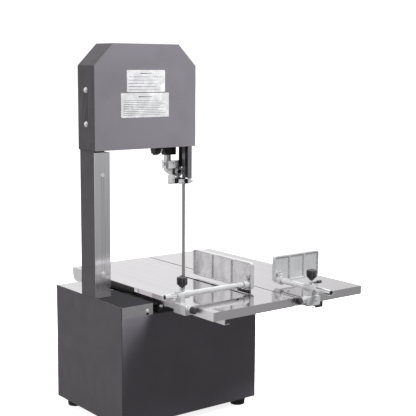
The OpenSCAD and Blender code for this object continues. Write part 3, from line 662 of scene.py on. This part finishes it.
# Brightness of the soft light on other surfaces: low, high and from the front
SKY_LOW = 0.45
SKY_HIGH = 0.56
SOFT_FRONT = 0.30
# What the camera sees behind the object
BACKDROP = 1.1
FLOOR_GLOW = 0.85


def camera_only(tree, seen, unseen):
    """Mixes two shaders: one for what the camera sees, one for light that bounces."""
    path = tree.nodes.new("ShaderNodeLightPath")
    mix = tree.nodes.new("ShaderNodeMixShader")
    tree.links.new(path.outputs["Is Camera Ray"], mix.inputs["Fac"])
    tree.links.new(unseen, mix.inputs[1])
    tree.links.new(seen, mix.inputs[2])
    return mix.outputs[0]


def stage_floor():
    """Flat pale floor; it looks white and bounces little light under the table."""
    bm = bmesh.new()
    bmesh.ops.create_grid(bm, x_segments=4, y_segments=4, size=30)
    mesh = bpy.data.meshes.new("floor")
    bm.to_mesh(mesh)
    bm.free()
    floor = link_object("floor", mesh)
    floor.visible_glossy = False
    g = Graph("studio_floor")
    g.finish(g.mix(g.noise(3, 2), (0.88, 0.88, 0.88), (0.90, 0.90, 0.90)), Roughness=0.9)
    g.bsdf.inputs["Emission Color"].default_value = (1, 1, 1, 1)
    g.bsdf.inputs["Emission Strength"].default_value = FLOOR_GLOW
    dull = g.add("ShaderNodeBsdfDiffuse", Color=(0.22, 0.22, 0.23, 1))
    out = [n for n in g.tree.nodes if n.type == "OUTPUT_MATERIAL"][0]
    g.link(camera_only(g.tree, g.bsdf.outputs[0], dull.outputs[0]), out.inputs["Surface"])
    mesh.materials.append(g.mat)


def graded(tree, value, low, high, start, end):
    """Goes smoothly from low to high; each of these two is a number or a socket."""
    node = tree.nodes.new("ShaderNodeMapRange")
    node.interpolation_type = "SMOOTHSTEP"
    for key, given in (("From Min", start), ("From Max", end), ("To Min", low), ("To Max", high)):
        if isinstance(given, float):
            node.inputs[key].default_value = given
        else:
            tree.links.new(given, node.inputs[key])
    tree.links.new(value, node.inputs["Value"])
    return node.outputs["Result"]


def white(tree, *factors):
    """White light whose strength is a number or the product of two sockets."""
    node = tree.nodes.new("ShaderNodeBackground")
    node.inputs["Color"].default_value = (1, 1, 1, 1)
    if len(factors) == 1:
        node.inputs["Strength"].default_value = factors[0]
        return node.outputs[0]
    product = tree.nodes.new("ShaderNodeMath")
    product.operation = "MULTIPLY"
    for factor, slot in zip(factors, product.inputs):
        tree.links.new(factor, slot)
    tree.links.new(product.outputs[0], node.inputs["Strength"])
    return node.outputs[0]


def world():
    """White studio: a pale back wall, a dimmer room in front, brighter overhead for soft light."""
    studio = bpy.data.worlds.new("studio")
    bpy.context.scene.world = studio
    studio.use_nodes = True
    studio.cycles.sampling_method = "NONE"
    t = studio.node_tree
    t.nodes.clear()
    out = t.nodes.new("ShaderNodeOutputWorld")
    coord = t.nodes.new("ShaderNodeTexCoord")
    split = t.nodes.new("ShaderNodeSeparateXYZ")
    t.links.new(coord.outputs["Generated"], split.inputs[0])
    x, y, z = split.outputs
    front = graded(t, z, FRONT_WALL * BELOW_FRONT, FRONT_WALL, -0.35, 0.15)
    back = graded(t, z, BACK_WALL * BELOW_BACK, BACK_WALL, -0.35, 0.15)
    wall = graded(t, y, front, back, -0.6, 0.5)
    side = graded(t, x, 1.0, RIGHT_FADE, 0.55, 0.85)
    sky = graded(t, z, SKY_LOW, SKY_HIGH, -0.6, 0.9)
    fore = graded(t, y, SOFT_FRONT, 1.0, -0.7, 0.3)
    path = t.nodes.new("ShaderNodeLightPath")
    bounce = t.nodes.new("ShaderNodeMixShader")
    t.links.new(path.outputs["Is Diffuse Ray"], bounce.inputs["Fac"])
    t.links.new(white(t, wall, side), bounce.inputs[1])
    t.links.new(white(t, sky, fore), bounce.inputs[2])
    t.links.new(camera_only(t, white(t, BACKDROP), bounce.outputs[0]), out.inputs["Surface"])


# ---------------------------------------------------------------- lights and camera

CAMERA_AT = (-1.2966, -1.8844, 0.8027)
CAMERA_YAW = math.radians(37.55)
CAMERA_PITCH = math.radians(8.18)
CAMERA_ROLL = math.radians(0.33)
LENS_MM = 85.66
SENSOR_MM = 36


def area(name, at, aim, size, power, color=(1, 1, 1)):
    """A square soft box that lights surfaces but isn't seen in reflections."""
    data = bpy.data.lights.new(name, "AREA")
    data.shape = "RECTANGLE"
    data.size = size
    data.size_y = size
    data.energy = power
    data.color = color
    obj = link_object(name, data)
    obj.location = at
    obj.rotation_euler = (Vector(aim) - Vector(at)).to_track_quat("-Z", "Y").to_euler()
    obj.visible_glossy = False
    obj.visible_camera = False


def camera():
    """A long lens at the left front, a little above the table, looking slightly down."""
    level = Vector((math.sin(CAMERA_YAW), math.cos(CAMERA_YAW), 0))
    forward = level * math.cos(CAMERA_PITCH) + Vector((0, 0, -math.sin(CAMERA_PITCH)))
    right = Vector((level.y, -level.x, 0))
    up = right.cross(forward)
    rolled_right = right * math.cos(CAMERA_ROLL) + up * math.sin(CAMERA_ROLL)
    rolled_up = up * math.cos(CAMERA_ROLL) - right * math.sin(CAMERA_ROLL)
    place = Matrix((rolled_right, rolled_up, -forward)).transposed().to_4x4()
    place.translation = CAMERA_AT
    data = bpy.data.cameras.new("camera")
    data.lens = LENS_MM
    data.sensor_width = SENSOR_MM
    data.clip_end = 100
    obj = link_object("camera", data)
    obj.matrix_world = place
    bpy.context.scene.camera = obj


stage_floor()
world()
area("key", (1.05, -1.35, 2.15), (0.0, 0.0, 0.65), 0.9, 235, (0.96, 1.0, 1.0))
area("top", (-0.7, 0.2, 2.6), (0.0, 0.0, 0.5), 1.4, 6)
area("left fill", (-0.9, -0.1, 0.25), (-0.15, 0.0, 0.2), 0.4, 1.1)
camera()
bpy.context.scene.view_settings.view_transform = "Standard"
